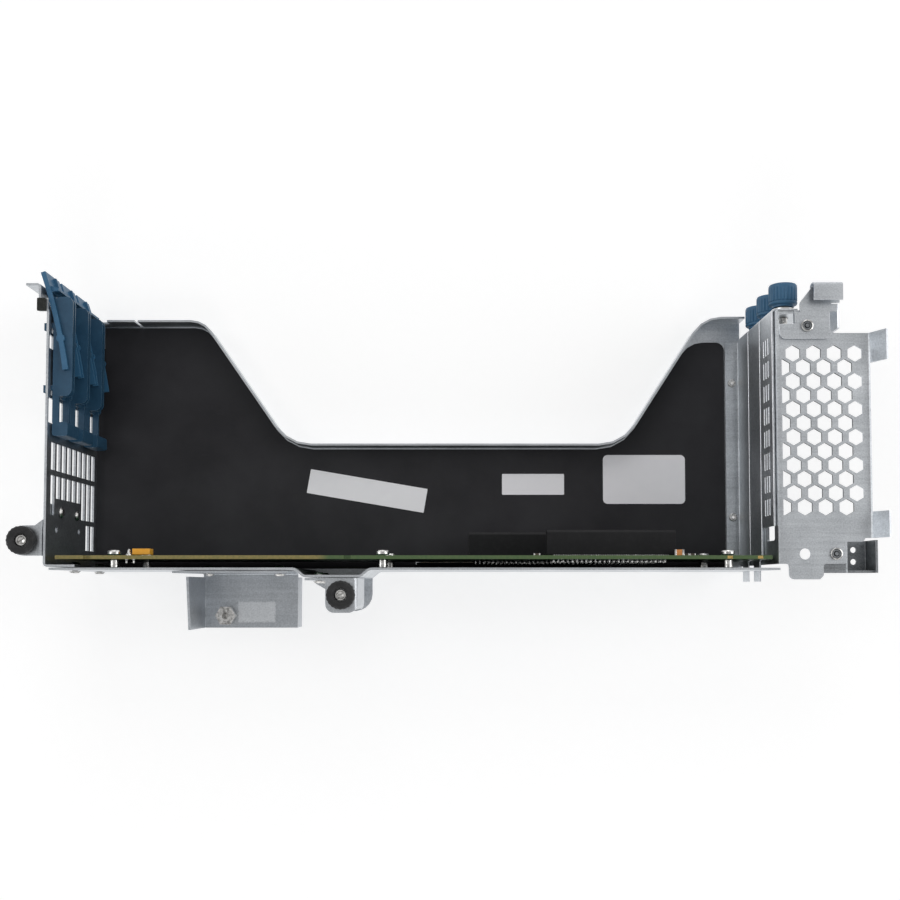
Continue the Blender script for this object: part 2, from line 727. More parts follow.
def lever_x(height):
    """The lever's middle line: how far it lies from its pivot at a height above it."""
    return -LEVER_LEAN * height - height * height / (2 * LEVER_BOW_RADIUS)


def lever_thickness(height):
    """The lever's thickness along its middle line, thinner towards its lower tip."""
    if height >= 0:
        return LEVER_THICKNESS
    share = -height / LEVER_BELOW
    return LEVER_THICKNESS + (LEVER_TIP_THICKNESS - LEVER_THICKNESS) * share


def lever_outline(low, high, steps=8):
    """The side outline of the bowed lever between two heights."""
    left, right = [], []
    for index in range(steps + 1):
        height = low + (high - low) * index / steps
        middle = Vector((lever_x(height), height))
        slope = Vector((-LEVER_LEAN - height / LEVER_BOW_RADIUS, 1.0)).normalized()
        normal = Vector((-slope.y, slope.x)) * lever_thickness(height) / 2
        left.append(middle + normal)
        right.append(middle - normal)
    return left[::-1] + right


def latch_body_mesh(blue):
    """The moulded housing of one latch: cheeks, card guide, struts, foot and snap hooks."""
    back = -PIVOT_FROM_WALL + HOUSING_BACK_GAP
    low, high = -HOUSING_BELOW, HOUSING_ABOVE
    width = HOUSING_HALF_WIDTH
    inner = width - CHEEK_THICKNESS
    web = back + CHEEK_THICKNESS
    foot_top = low - STRUT_LENGTH
    body = prism("latch_body_shape", rectangle(back, low, web, high), -width, width, finish_material=blue)
    cheek = rectangle(back, low, HOUSING_REACH, high, CHEEK_RADIUS)
    short_cheek = rectangle(back, low, HOUSING_SHORT_REACH, high, CHEEK_THICKNESS)
    guide = rectangle(back, low + SHEET, HOUSING_SHORT_REACH - SHEET, high - SHEET)
    strut = rectangle(back, foot_top, back + STRUT_DEPTH, low + CHEEK_RADIUS)
    foot = rectangle(back, foot_top - FOOT_HEIGHT, FOOT_REACH, foot_top + FIT, CHEEK_THICKNESS)
    boss_end = width + LEVER_GAP + BOSS_PROUD
    plate_at = width - INNER_PLATE_INSET
    rib_at = GUIDE_RIB_INSET - width
    parts = [
        ("cheek", cheek, inner, width),
        ("short_cheek", short_cheek, -width, -inner),
        ("inner_plate", cheek, plate_at, plate_at + INNER_PLATE),
        ("guide_rib", guide, rib_at, rib_at + GUIDE_RIB),
        ("near_strut", strut, width - STRUT_WIDTH, width),
        ("far_strut", strut, -width, STRUT_WIDTH - width),
        ("foot", foot, -width, width),
        ("boss_pad", circle(0, 0, BOSS_PAD_RADIUS, 16), -width, -inner),
        ("near_boss", circle(0, 0, BOSS_RADIUS, 12), inner, boss_end),
        ("far_boss", circle(0, 0, BOSS_RADIUS, 12), -boss_end, -inner),
    ]
    barb_x = -PIVOT_FROM_WALL - SHEET - 2 * FIT
    for place, level in zip(("upper", "lower"), HOOK_LEVELS):
        bottom, top = level - HOOK_HEIGHT / 2, level + HOOK_HEIGHT / 2
        hook = [
            Vector((web - FIT, top - HOOK_NECK)), Vector((web - FIT, top)), Vector((barb_x - HOOK_BARB, top)),
            Vector((barb_x - HOOK_BARB, bottom + HOOK_BARB / 2)), Vector((barb_x, bottom)),
            Vector((barb_x, top - HOOK_NECK)),
        ]
        parts.append((f"near_hook_{place}", hook, inner + HOOK_INSET, width - HOOK_INSET))
        parts.append((f"far_hook_{place}", hook, HOOK_INSET - width, -inner - HOOK_INSET))
    for label, outline, start, end in parts:
        join(body, prism(f"latch_{label}", outline, start, end))
    return body


def latch_lever_mesh(blue):
    """The lever that straddles the housing: two bowed legs, a web, a card lip and grip ridges."""
    inner = HOUSING_HALF_WIDTH + LEVER_GAP
    outer = LEVER_HALF_WIDTH
    web = lever_outline(LEVER_WEB_START, LEVER_ABOVE, 5)
    lever = prism("latch_lever_shape", web, -outer, outer, finish_material=blue)
    leg = lever_outline(-LEVER_BELOW, LEVER_WEB_START + LEVER_THICKNESS)
    for side in (-1, 1):
        start, end = sorted((side * inner, side * outer))
        join(lever, prism(f"lever_leg_{side}", leg, start, end))
        join(lever, prism(f"lever_hub_{side}", circle(0, 0, LEVER_HUB_RADIUS, 16), start, end))
    lip_x = lever_x(LEVER_WEB_START)
    join(lever, prism("lever_lip", [
        Vector((lip_x, LEVER_WEB_START + FIT)),
        Vector((lip_x + LEVER_LIP_REACH, LEVER_WEB_START + LEVER_THICKNESS / 2)),
        Vector((lip_x + LEVER_LIP_REACH, LEVER_WEB_START + LEVER_THICKNESS)),
        Vector((lip_x, LEVER_WEB_START + 1.5 * LEVER_THICKNESS)),
    ], -outer + LEVER_LEG, outer - LEVER_LEG))
    rib = lever_outline(LEVER_WEB_START + FIT, LEVER_ABOVE - SHEET, 5)
    rib = [point + Vector((LEVER_RIB_PROUD, 0.0)) for point in rib]
    join(lever, prism("lever_rib", rib, -LEVER_RIB_WIDTH / 2, LEVER_RIB_WIDTH / 2))
    bore = inner + BOSS_PROUD + FIT
    cut(lever, prism("lever_bore", circle(0, 0, BOSS_RADIUS + FIT, 12), -bore, bore))
    return lever


def build_latches(blue):
    """One housing and one lever for each card slot, each lever's origin on its pivot."""
    body_shape = latch_body_mesh(blue)
    lever_shape = latch_lever_mesh(blue)
    for number, plane in enumerate(SLOT_PLANES, start=1):
        for name, shape in (("latch_body", body_shape), ("latch_lever", lever_shape)):
            piece = shape if number == 1 else shape.copy()
            piece.name = f"{name}_{number}"
            if number > 1:
                bpy.context.scene.collection.objects.link(piece)
            move_with_tools(piece, Vector((PIVOT_X, PIVOT_Y, plane)))


def move_with_tools(piece, place):
    """Stand a shape at its place, with a copy of each tool that shapes it."""
    for step in piece.modifiers:
        tool = step.object.copy()
        tool.location = place
        bpy.context.scene.collection.objects.link(tool)
        step.object = tool
    piece.location = place


# Rear frame

def rear_rivet_places():
    """The rivets of the rear frame's foot flange."""
    x = REAR_INNER_X - FOOT_FLANGE / 2
    low, high = REAR_RIVET_INSETS
    return [Vector((x, y, SHEET + FIT)) for y in (BASE_Y + low, SHELF_Y - high)]


def hex_holes():
    """The staggered rows of six sided holes in the perforated plate."""
    radius = HEX_FLATS / math.sqrt(3)
    holes = []
    top = PLATE_TOP_Y - HEX_TOP_DROP
    rows = 1 + int((top - BASE_Y - HEX_BOTTOM) / HEX_ROW_PITCH)
    for row in range(rows):
        odd = row % 2
        first = REAR_X + HEX_FIRST_AT - (HEX_PITCH / 2 if odd else 0.0)
        level = top - HEX_ROW_PITCH * row
        for index in range(HEX_COLUMNS):
            if odd and index == 0:
                holes.append(cut_hex(first, level, radius))
            else:
                holes.append(circle(first + HEX_PITCH * index, level, radius, 6, math.pi / 6))
    return holes


def cut_hex(x, y, radius):
    """A six sided hole whose left side is cut off along the bend of the plate."""
    corner = circle(x, y, radius, 6, math.pi / 6)
    drop = HEX_CUT / math.sqrt(3)
    left = [Vector((x - HEX_CUT, y + radius - drop)), Vector((x - HEX_CUT, y - radius + drop))]
    return [corner[0], corner[1]] + left + [corner[4], corner[5]]


def build_rear_frame(steel):
    """The slot wall, its foot, the screw shelf and the perforated plate with its catches."""
    low, high = BASE_Y + REAR_WALL_FOOT, SHELF_Y
    wall_x = REAR_X - SHEET / 2
    foot_z = SHEET + FIT + SHEET / 2
    end_x = REAR_X + PLATE_REACH
    section = strip_outline([
        (REAR_INNER_X - FOOT_FLANGE, foot_z, 0),
        (wall_x, foot_z, FOLD_CENTRE),
        (wall_x, PLATE_LEVEL, FOLD_CENTRE),
        (end_x, PLATE_LEVEL, 2 * FOLD_CENTRE),
        (end_x + HOOK_LEAN, PLATE_LEVEL + HOOK_RISE, 0),
    ])
    frame = prism("rear_frame", section, low - TAB_DROP, high, "Y", steel)
    tab_low, tab_high = (REAR_X + edge for edge in TAB_SPAN)
    far_x, far_z = end_x + 2 * HOOK_LEAN, PLATE_LEVEL - 2 * SHEET
    step_x = end_x - 3.5 * SHEET
    above = 2 * CAGE_HEIGHT
    bottom = low - 2 * TAB_DROP
    trims = [
        (rounded_outline([
            (FRONT_X, bottom, 0), (tab_low, bottom, 0), (tab_low, low, TAB_RADIUS / 2), (FRONT_X, low, 0)]),
         -SHEET, above),
        (rounded_outline([
            (tab_high, bottom, 0), (far_x, bottom, 0), (far_x, BASE_Y + LOWER_CATCH[0], 0),
            (step_x, BASE_Y + LOWER_CATCH[0], SHEET), (step_x, BASE_Y + CORNER_STEP, SHEET),
            (REAR_X + CLIP_STEP_AT - SHEET, BASE_Y + CORNER_STEP, SHEET),
            (REAR_X + CLIP_STEP_AT - SHEET, low, SHEET),
            (tab_high, low, SHEET)]), far_z, above),
        (rounded_outline([
            (REAR_X + PLATE_SHOULDER, PLATE_TOP_Y, 2 * SHEET), (far_x, PLATE_TOP_Y, 0),
            (far_x, high + SHEET, 0), (REAR_X + PLATE_SHOULDER, high + SHEET, 0)]), far_z, above),
        (rectangle(end_x, BASE_Y + LOWER_CATCH[1], far_x, PLATE_TOP_Y - UPPER_CATCH_HEIGHT), far_z, above),
        (rectangle(REAR_X + SCREW_NOTCH[0], high - SCREW_NOTCH_DROP, REAR_X + SCREW_NOTCH[1], high + SHEET),
         far_z, above),
        (circle(REAR_X + PLATE_HOLE_AT, BASE_Y + PLATE_HOLE_LEVEL, PLATE_HOLE_RADIUS), far_z, above),
    ]
    for place in plate_rivet_places():
        trims.append((circle(place.x, place.y, RIVET_RADIUS + FIT, 12), far_z, above))
    for place in rear_rivet_places():
        trims.append((circle(place.x, place.y, RIVET_RADIUS + FIT, 12), 0.0, 4 * SHEET))
    cut(frame, prisms("frame_trims", trims))
    tab_end = low - TAB_DROP
    chamfer = [
        Vector((tab_high - TAB_CHAMFER, tab_end)), Vector((tab_high - TAB_CHAMFER, tab_end - SHEET)),
        Vector((tab_high + SHEET, tab_end - SHEET)), Vector((tab_high + SHEET, tab_end + TAB_CHAMFER)),
        Vector((tab_high, tab_end + TAB_CHAMFER)),
    ]
    rounding = corner_waste(tab_low, tab_end, -1, -1, TAB_RADIUS)
    cut(frame, prisms("tab_corners", [(shape, far_z, above) for shape in (rounding, chamfer)]))
    cut(frame, prisms("hex_holes", [(outline, far_z, PLATE_LEVEL + SHEET) for outline in hex_holes()]))
    openings = []
    for plane in SLOT_PLANES:
        half = SLOT_OPENING_WIDTH / 2
        openings.append((rectangle(
            BASE_Y + SLOT_OPENING_BOTTOM, plane - half, high - SLOT_OPENING_DROP, plane + half, SHEET),
            REAR_X - 2 * SHEET, REAR_X + 1.5 * SHEET))
    cut(frame, prisms("slot_openings", openings, axis="X"))
    shelf_low = SLOT_PLANES[0] - COVER_WIDTH / 2
    shelf_end = SLOT_PLANES[-1] + COVER_WIDTH / 2
    shelf = prism("screw_shelf", rectangle(
        REAR_INNER_X + SHEET / 4, shelf_low, REAR_X + SHELF_LENGTH, shelf_end), high - SHEET, high, "Y")
    join(frame, shelf)
    holes = [(circle(COVER_SCREW_X, plane, COVER_SCREW_RADIUS + FIT, 16), high - 2 * SHEET, high + SHEET)
             for plane in SLOT_PLANES]
    cut(frame, prisms("shelf_holes", holes, axis="Y"))
    return frame


def build_slot_covers(steel):
    """The blanking covers: two with tongues and the near one short and vented."""
    tab_end = COVER_X + COVER_TAB
    for number, plane in enumerate(SLOT_PLANES):
        short = number == len(SLOT_PLANES) - 1
        bottom = BASE_Y + (SHORT_COVER_BOTTOM if short else -COVER_TONGUE_DROP)
        section = strip_outline([
            (COVER_X, bottom, 0),
            (COVER_X, COVER_TAB_Y, FOLD_CENTRE),
            (tab_end, COVER_TAB_Y, 0),
        ], COVER_THICKNESS)
        name = ("slot_cover_far", "slot_cover_mid", "slot_cover_near")[number]
        half = COVER_WIDTH / 2
        cover = prism(name, section, plane - half, plane + half, "Z", steel)
        notch = COVER_SCREW_RADIUS + 2 * FIT
        cut(cover, prism(f"screw_notch_{number}", rounded_outline([
            (COVER_SCREW_X - notch, plane - notch, notch * 0.99),
            (tab_end + SHEET, plane - notch, 0), (tab_end + SHEET, plane + notch, 0),
            (COVER_SCREW_X - notch, plane + notch, notch * 0.99)]),
            COVER_TAB_Y - SHEET, COVER_TAB_Y + SHEET, "Y"))
        x_low, x_high = COVER_X - SHEET, COVER_X + SHEET
        if short:
            width, height = COVER_VENT_SIZE
            vents = []
            for row in range(int((SHELF_Y - COVER_VENT_MARGIN - bottom) / COVER_VENT_PITCH)):
                level = bottom + COVER_VENT_PITCH * (row + 0.5)
                for side in (-1, 0, 1):
                    middle = plane + side * 2 * width
                    vents.append((rectangle(level, middle - width / 2, level + height, middle + width / 2),
                                  x_low, x_high))
            cut(cover, prisms("cover_vents", vents, axis="X"))
            continue
        tongue = COVER_TONGUE_WIDTH / 2
        tongue_top = bottom + COVER_TONGUE_LENGTH
        sides = []
        for side in (-1, 1):
            sides.append(([
                Vector((bottom - SHEET, plane + side * tongue)),
                Vector((tongue_top, plane + side * tongue)),
                Vector((tongue_top + COVER_TAPER, plane + side * (half + FIT))),
                Vector((bottom - SHEET, plane + side * (half + FIT))),
            ], x_low, x_high))
        cut(cover, prisms(f"tongue_sides_{number}", sides, axis="X"))


def build_cover_screws(steel, blue):
    """The knurled thumbscrews on the screw shelf, turning about their shanks."""
    seat = COVER_TAB_Y + COVER_THICKNESS / 2 + FIT - SHELF_Y
    washer_top = seat + WASHER_THICKNESS
    knob_low = washer_top + FIT
    radius = COVER_SCREW_RADIUS
    screw_profile = [
        (0.0, -COVER_SCREW_BELOW_SHELF - SHEET), (radius - FOLD, -COVER_SCREW_BELOW_SHELF - SHEET),
        (radius, -COVER_SCREW_BELOW_SHELF), (radius, seat), (WASHER_RADIUS, seat),
        (WASHER_RADIUS, washer_top), (radius, washer_top),
        (radius, knob_low + KNOB_BORE_DEPTH - FIT), (0.0, knob_low + KNOB_BORE_DEPTH - FIT),
    ]
    knob_top = knob_low + KNOB_HEIGHT
    waist = KNOB_RADIUS * 0.86
    knob_profile = [
        (radius + FIT, knob_low + KNOB_BORE_DEPTH, 0), (radius + FIT, knob_low, 0), (waist, knob_low, 0),
        (waist, knob_low + SHEET, 0), (KNOB_RADIUS, knob_low + 1.3 * SHEET, 1),
        (KNOB_RADIUS, knob_top - 1.4 * SHEET, 1), (KNOB_RADIUS * 0.9, knob_top - 0.4 * SHEET, 1),
        (KNOB_RADIUS * 0.5, knob_top, 0),
    ]
    turn = Matrix.Rotation(-math.pi / 2, 4, "X")
    for number, plane in enumerate(SLOT_PLANES, start=1):
        pieces = (
            turned(f"cover_screw_{number}", screw_profile, steel, 16),
            fluted(f"cover_knob_{number}", knob_profile, KNOB_FLUTES, KNOB_FLUTE_DEPTH, blue),
        )
        for piece in pieces:
            piece.matrix_world = Matrix.Translation((COVER_SCREW_X, SHELF_Y, plane)) @ turn


def plate_rivet_places():
    """The rivets through the perforated plate: catch bracket first, corner clip second."""
    return [
        Vector((REAR_X + CATCH_RIVET[0], SHELF_Y - CATCH_RIVET[1], PLATE_LEVEL)),
        Vector((REAR_X + CLIP_RIVET[0], BASE_Y + CLIP_RIVET[1], PLATE_LEVEL)),
    ]


def build_catch(steel):
    """The catch bracket on the upper corner of the perforated plate."""
    low = CAGE_HEIGHT + FIT
    high = low + SHEET
    middle = low + SHEET / 2
    head_low, head_high = REAR_X + CATCH_HEAD_AT, REAR_X + CATCH_HEAD_AT + CATCH_HEAD_WIDTH
    foot_start = REAR_X + CATCH_FOOT_AT
    foot_end = foot_start + CATCH_FOOT_WIDTH
    top = SHELF_Y + CATCH_RISE
    foot_y = SHELF_Y - CATCH_FOOT_DROP
    neck_y = SHELF_Y - CATCH_NECK_DROP
    slope_y = SHELF_Y + CATCH_SLOPE_RISE
    plate = rounded_outline([
        (foot_start, foot_y, 2.5 * SHEET),
        (foot_end, foot_y, 2.5 * SHEET),
        (foot_end, slope_y, SHEET),
        (head_high, slope_y, 0),
        (head_high, top - 2 * SHEET, 0),
        (head_low, top - 2 * SHEET, 0),
        (REAR_X + CATCH_NECK_AT, slope_y, 2 * SHEET),
        (REAR_X + CATCH_NECK_AT, neck_y, SHEET / 2),
        (foot_start, neck_y, 2 * SHEET),
    ])
    catch = prism("catch_bracket", plate, low, high, finish_material=steel)
    hook = strip_outline([
        (slope_y, middle, 0),
        (top - SHEET / 2, middle, FOLD_CENTRE),
        (top - SHEET / 2, middle + CATCH_HOOK_HEIGHT, FOLD_CENTRE),
        (top - CATCH_HOOK_LENGTH, middle + CATCH_HOOK_HEIGHT, 0),
    ])
    join(catch, prism("catch_hook", hook, head_low, head_high, "X"))
    flange_x = REAR_X + CATCH_FLANGE_AT
    span_low, span_high = (SHELF_Y + rise for rise in CATCH_FLANGE_SPAN)
    ear = strip_outline([
        (foot_end - 2 * SHEET, middle, 0),
        (flange_x, middle, FOLD_CENTRE),
        (flange_x, middle - CATCH_FLANGE_DROP, 0),
    ])
    join(catch, prism("catch_ear", ear, span_low, span_high, "Y"))
    gap = rectangle(foot_end - SHEET / 2, span_low - SHEET, flange_x - SHEET, span_high - 3.2 * SHEET)
    cut(catch, prism("ear_gap", gap, low - SHEET, high + SHEET))
    rivet = plate_rivet_places()[0]
    hole = circle(rivet.x, rivet.y, RIVET_RADIUS + FIT, 12)
    cut(catch, prism("catch_hole", hole, low - SHEET, high + SHEET))


def build_clip(steel):
    """The stepped clip behind the lower corner of the perforated plate."""
    land = CAGE_HEIGHT - SHEET - FIT - SHEET / 2
    step_x = REAR_X + CLIP_STEP_AT
    end_x = REAR_X + CLIP_END_AT
    section = strip_outline([
        (REAR_X + CLIP_LAND_AT, land, 0),
        (step_x, land, FOLD_CENTRE),
        (step_x, land - CLIP_STEP_DEPTH, FOLD_CENTRE),
        (end_x, land - CLIP_STEP_DEPTH, FOLD_CENTRE),
        (end_x, CAGE_HEIGHT, 0),
    ])
    low, high = (BASE_Y + depth for depth in CLIP_SPAN)
    clip = prism("corner_clip", section, low, high, "Y", steel)
    foot = prism("clip_foot", rectangle(
        REAR_X + CLIP_LAND_AT - 4 * SHEET, land - CLIP_STEP_DEPTH, end_x + SHEET / 4, land),
        low, low + SHEET, "Y")
    join(clip, foot)
    tray_x = (step_x + end_x) / 2
    holes = [(circle(tray_x, low + share * (high - low), CLIP_HOLE_RADIUS, 12),
              land - 2 * CLIP_STEP_DEPTH, land - SHEET) for share in (0.35, 0.72)]
    rivet = plate_rivet_places()[1]
    holes.append((circle(rivet.x, rivet.y, RIVET_RADIUS + FIT, 12), land - SHEET, land + SHEET))
    cut(clip, prisms("clip_holes", holes))


# Riser board

def build_board(green):
    """The riser board, standing along the side wall with its edge tongue down."""
    left = FRONT_X + BOARD_FRONT_GAP
    right = COVER_X - COVER_THICKNESS / 2 - FIT
    tongue_low = FRONT_X + TONGUE_AT
    tongue_high = tongue_low + TONGUE_LENGTH
    key = tongue_low + TONGUE_KEY_AT
    tip = BOARD_BOTTOM - TONGUE_DROP
    corners = [
        (left, BOARD_BOTTOM, SHEET), (tongue_low, BOARD_BOTTOM, SHEET / 2),
        (tongue_low, tip, SHEET / 2), (key, tip, SHEET / 4),
        (key, BOARD_BOTTOM, SHEET / 4), (key + TONGUE_KEY, BOARD_BOTTOM, SHEET / 4),
        (key + TONGUE_KEY, tip, SHEET / 4), (tongue_high, tip, SHEET / 2),
        (tongue_high, BOARD_BOTTOM, SHEET / 2), (right, BOARD_BOTTOM, SHEET), (right, BOARD_TOP, SHEET),
    ]
    notch_width, notch_depth = BOARD_NOTCH_SIZE
    for place in sorted(BOARD_NOTCHES, reverse=True):
        x = FRONT_X + place
        corners += [(x + notch_width, BOARD_TOP, 0), (x + notch_width, BOARD_TOP - notch_depth, SHEET / 2),
                    (x, BOARD_TOP - notch_depth, SHEET / 2), (x, BOARD_TOP, 0)]
    corners.append((left, BOARD_TOP, SHEET))
    board = prism("riser_board", rounded_outline(corners), BOARD_Y, BOARD_FACE_Y, "Y", green)
    holes = [(circle(x, z, BOARD_SCREW_RADIUS + FIT, 12), BOARD_Y - SHEET, BOARD_FACE_Y + SHEET)
             for x, z in board_screw_places()]
    cut(board, prisms("board_holes", holes, axis="Y"))


def board_screw_places():
    """The two rows of board screws, as X and Z."""
    return [(FRONT_X + x, z) for z in BOARD_SCREW_ROWS for x in BOARD_SCREW_PLACES]


def build_board_fasteners(steel):
    """A standoff and a screw at each fixing of the board."""
    standoff_height = BOARD_STANDOFF - 2 * FIT
    bore = BOARD_SCREW_RADIUS + FIT
    tube = [(bore, 0.0), (STANDOFF_RADIUS, 0.0), (STANDOFF_RADIUS, standoff_height), (bore, standoff_height),
            (bore, 0.0)]
    reach = BOARD_STANDOFF + BOARD_THICKNESS
    head = reach + FIT
    screw = [
        (0.0, SHEET), (BOARD_SCREW_RADIUS, SHEET), (BOARD_SCREW_RADIUS, head),
        (BOARD_SCREW_HEAD_RADIUS, head), (BOARD_SCREW_HEAD_RADIUS, head + 0.6 * BOARD_SCREW_HEAD),
        (0.7 * BOARD_SCREW_HEAD_RADIUS, head + BOARD_SCREW_HEAD), (0.0, head + BOARD_SCREW_HEAD),
    ]
    turn = Matrix.Rotation(-math.pi / 2, 4, "X")
    for number, (x, z) in enumerate(board_screw_places(), start=1):
        standoff = turned(f"board_standoff_{number}", tube, steel, 12)
        standoff.matrix_world = Matrix.Translation((x, BASE_Y + SHEET + FIT, z)) @ turn
        fixing = turned(f"board_screw_{number}", screw, steel, 12)
        fixing.matrix_world = Matrix.Translation((x, BASE_Y + SHEET, z)) @ turn


def build_connectors(black):
    """The card connectors: a long one in the far and middle slots, a short one in the near slot."""
    seat = BOARD_FACE_Y + FIT
    top = seat + CONNECTOR_HEIGHT
    right = REAR_X - CONNECTOR_REAR_AT
    for number, plane in enumerate(SLOT_PLANES, start=1):
        length = CONNECTOR_SHORT if number == SLOT_COUNT else CONNECTOR_LONG
        left = right - length
        half = CONNECTOR_WIDTH / 2
        chamfer = SHEET / 2
        section = rounded_outline([
            (seat, plane - half + chamfer, 0), (top - SHEET, plane - half, chamfer),
            (top, plane - half + SHEET, 0), (top, plane + half - SHEET, 0),
            (top - SHEET, plane + half, chamfer), (seat, plane + half - chamfer, 0)])
        body = prism(f"slot_connector_{number}", section, left, right, "X", black)
        key = right - CARD_KEY_AT
        slits = []
        for low, high in ((left + 1.5 * SHEET, key - CARD_KEY), (key, right - 1.5 * SHEET)):
            slits.append((rectangle(low, plane - CARD_SLIT / 2, high, plane + CARD_SLIT / 2),
                          top - CARD_SLIT_DEPTH, top + SHEET))
        cut(body, prisms(f"card_slits_{number}", slits, axis="Y"))


def build_header(amber):
    """The small power header near the front end of the board."""
    x = FRONT_X + HEADER_AT
    seat = BOARD_FACE_Y + FIT
    header = prism("power_header", rectangle(
        x, BOARD_TOP - SHEET - HEADER_DEPTH, x + HEADER_LENGTH, BOARD_TOP - SHEET, SHEET / 2),
        seat, seat + HEADER_HEIGHT, "Y", amber)
    wall = SHEET * 0.8
    top = BOARD_TOP - SHEET
    well = rectangle(x + wall, top - HEADER_DEPTH + wall, x + HEADER_LENGTH - wall, top - wall)
    cut(header, prism("header_well", well, seat + wall, seat + 2 * HEADER_HEIGHT, "Y"))


# Rivets

def front_rivet_places():
    """The rivets between the front wall's foot and the side wall."""
    low, high = FRONT_RIVET_INSETS
    return [Vector((FRONT_X + FRONT_RIVET_AT, BASE_Y, z)) for z in (low, CAGE_HEIGHT - high)]


def middle_rivet_places():
    """The rivets between the middle bracket and the pocket of the side wall."""
    x = POCKET_MIDDLE_X - MIDDLE_HALF_WIDTH - MIDDLE_RIVET_FROM_SIDE
    return [Vector((x, BASE_Y - POCKET_DEPTH, CAGE_HEIGHT - drop)) for drop in MIDDLE_RIVET_DROPS]


def side_rivet_places():
    """The rivets between the side bracket and the side wall."""
    level = (SIDE_LEVEL + CAGE_HEIGHT) / 2
    return [Vector((FRONT_X + SIDE_AT + place, BASE_Y, level)) for place in SIDE_RIVETS]


def wall_rivet_places():
    """Every rivet through the side wall."""
    return front_rivet_places() + middle_rivet_places() + side_rivet_places()


def rivet(name, steel, place, axis, sheets):
    """A solid rivet through a number of sheets, its outer head at the side that the axis points to."""
    grip = sheets * SHEET + (sheets - 1) * FIT
    low, high = -FIT, grip + FIT
    dome = RIVET_HEAD_RADIUS * 0.6
    profile = [
        (0.0, low - RIVET_HEAD), (dome, low - RIVET_HEAD), (RIVET_HEAD_RADIUS, low),
        (RIVET_RADIUS, low), (RIVET_RADIUS, high), (RIVET_HEAD_RADIUS, high),
        (dome, high + RIVET_HEAD), (0.0, high + RIVET_HEAD),
    ]
    made = turned(name, profile, steel, 12)
    direction = Vector(axis)
    made.matrix_world = Matrix.Translation(place) @ direction.to_track_quat("Z", "Y").to_matrix().to_4x4()


def eyelet(name, steel, place):
    """A hollow rivet that ends flush with the underside of the floor."""
    low, high = FIT - place.z, SHEET + FIT
    made = turned(name, [
        (EYELET_BORE, low), (RIVET_RADIUS, low), (RIVET_RADIUS, high), (EYELET_HEAD_RADIUS, high),
        (EYELET_HEAD_RADIUS - FIT, high + EYELET_HEAD), (EYELET_BORE, high + EYELET_HEAD), (EYELET_BORE, low),
    ], steel, 12)
    made.location = place


def build_rivets(steel):
    """All the rivets of the cage."""
    gap = SHEET + FIT
    for number, place in enumerate(rear_rivet_places(), start=1):
        eyelet(f"rear_rivet_{number}", steel, place)
    for number, place in enumerate(front_rivet_places(), start=1):
        rivet(f"front_wall_rivet_{number}", steel, place, (0, 1, 0), 2)
    for number, place in enumerate(middle_rivet_places(), start=1):
        rivet(f"middle_rivet_{number}", steel, place + Vector((0, -gap, 0)), (0, 1, 0), 2)
    for number, place in enumerate(side_rivet_places(), start=1):
        rivet(f"side_rivet_{number}", steel, place + Vector((0, -gap, 0)), (0, 1, 0), 2)
    catch, clip = plate_rivet_places()
    rivet("catch_rivet", steel, Vector((catch.x, catch.y, CAGE_HEIGHT - SHEET)), (0, 0, 1), 2)
    rivet("clip_rivet", steel, Vector((clip.x, clip.y, CAGE_HEIGHT - 2 * SHEET - FIT)), (0, 0, 1), 2)
    for number, level in enumerate(ARM_RIVET_LEVELS, start=1):
        place = Vector((FRONT_X - gap, BASE_Y + ARM_RIVET_DEPTH, level))
        rivet(f"arm_rivet_{number}", steel, place, (1, 0, 0), 2)


# Captive screws and their brackets

def captive_screw(suffix, steel, black, place, sheet_top):
    """A captive thumbscrew: a fluted black knob with a steel screw through it."""
    low = sheet_top + FIT
    top = low + CAPTIVE_HEIGHT
    bore, radius = CAPTIVE_BORE, CAPTIVE_RADIUS
    knob = fluted(f"captive_knob_{suffix}", [
        (bore, low, 0), (radius - SHEET, low, 0), (radius, low + 0.6 * SHEET, 1),
        (radius, top - 0.6 * SHEET, 1), (radius - 0.8 * SHEET, top, 0), (bore + 1.2 * SHEET, top, 0),
        (bore, top - SHEET, 0),
    ], CAPTIVE_FLUTES, KNOB_FLUTE_DEPTH, black, closed=True)
    head_low = low + SHEET
    shank = CAPTIVE_SCREW_RADIUS
    tip = sheet_top - CAPTIVE_SCREW_LENGTH
    screw = turned(f"captive_screw_{suffix}", [
        (0.0, tip), (0.6 * shank, tip), (shank, tip + SHEET), (shank, head_low),
        (CAPTIVE_SCREW_HEAD, head_low), (CAPTIVE_SCREW_HEAD, top - 1.6 * SHEET),
        (0.5 * CAPTIVE_SCREW_HEAD, top - 1.6 * SHEET),
        (0.4 * CAPTIVE_SCREW_HEAD, top - 2.2 * SHEET), (0.0, top - 2.2 * SHEET),
    ], steel, 16)
    for piece in (knob, screw):
        piece.location = (place.x, place.y, 0.0)


def arm_screw_place():
    """The place of the front captive screw."""
    return Vector((FRONT_X - ARM_SCREW_REACH, BASE_Y + ARM_BOTTOM + ARM_WIDTH / 2))


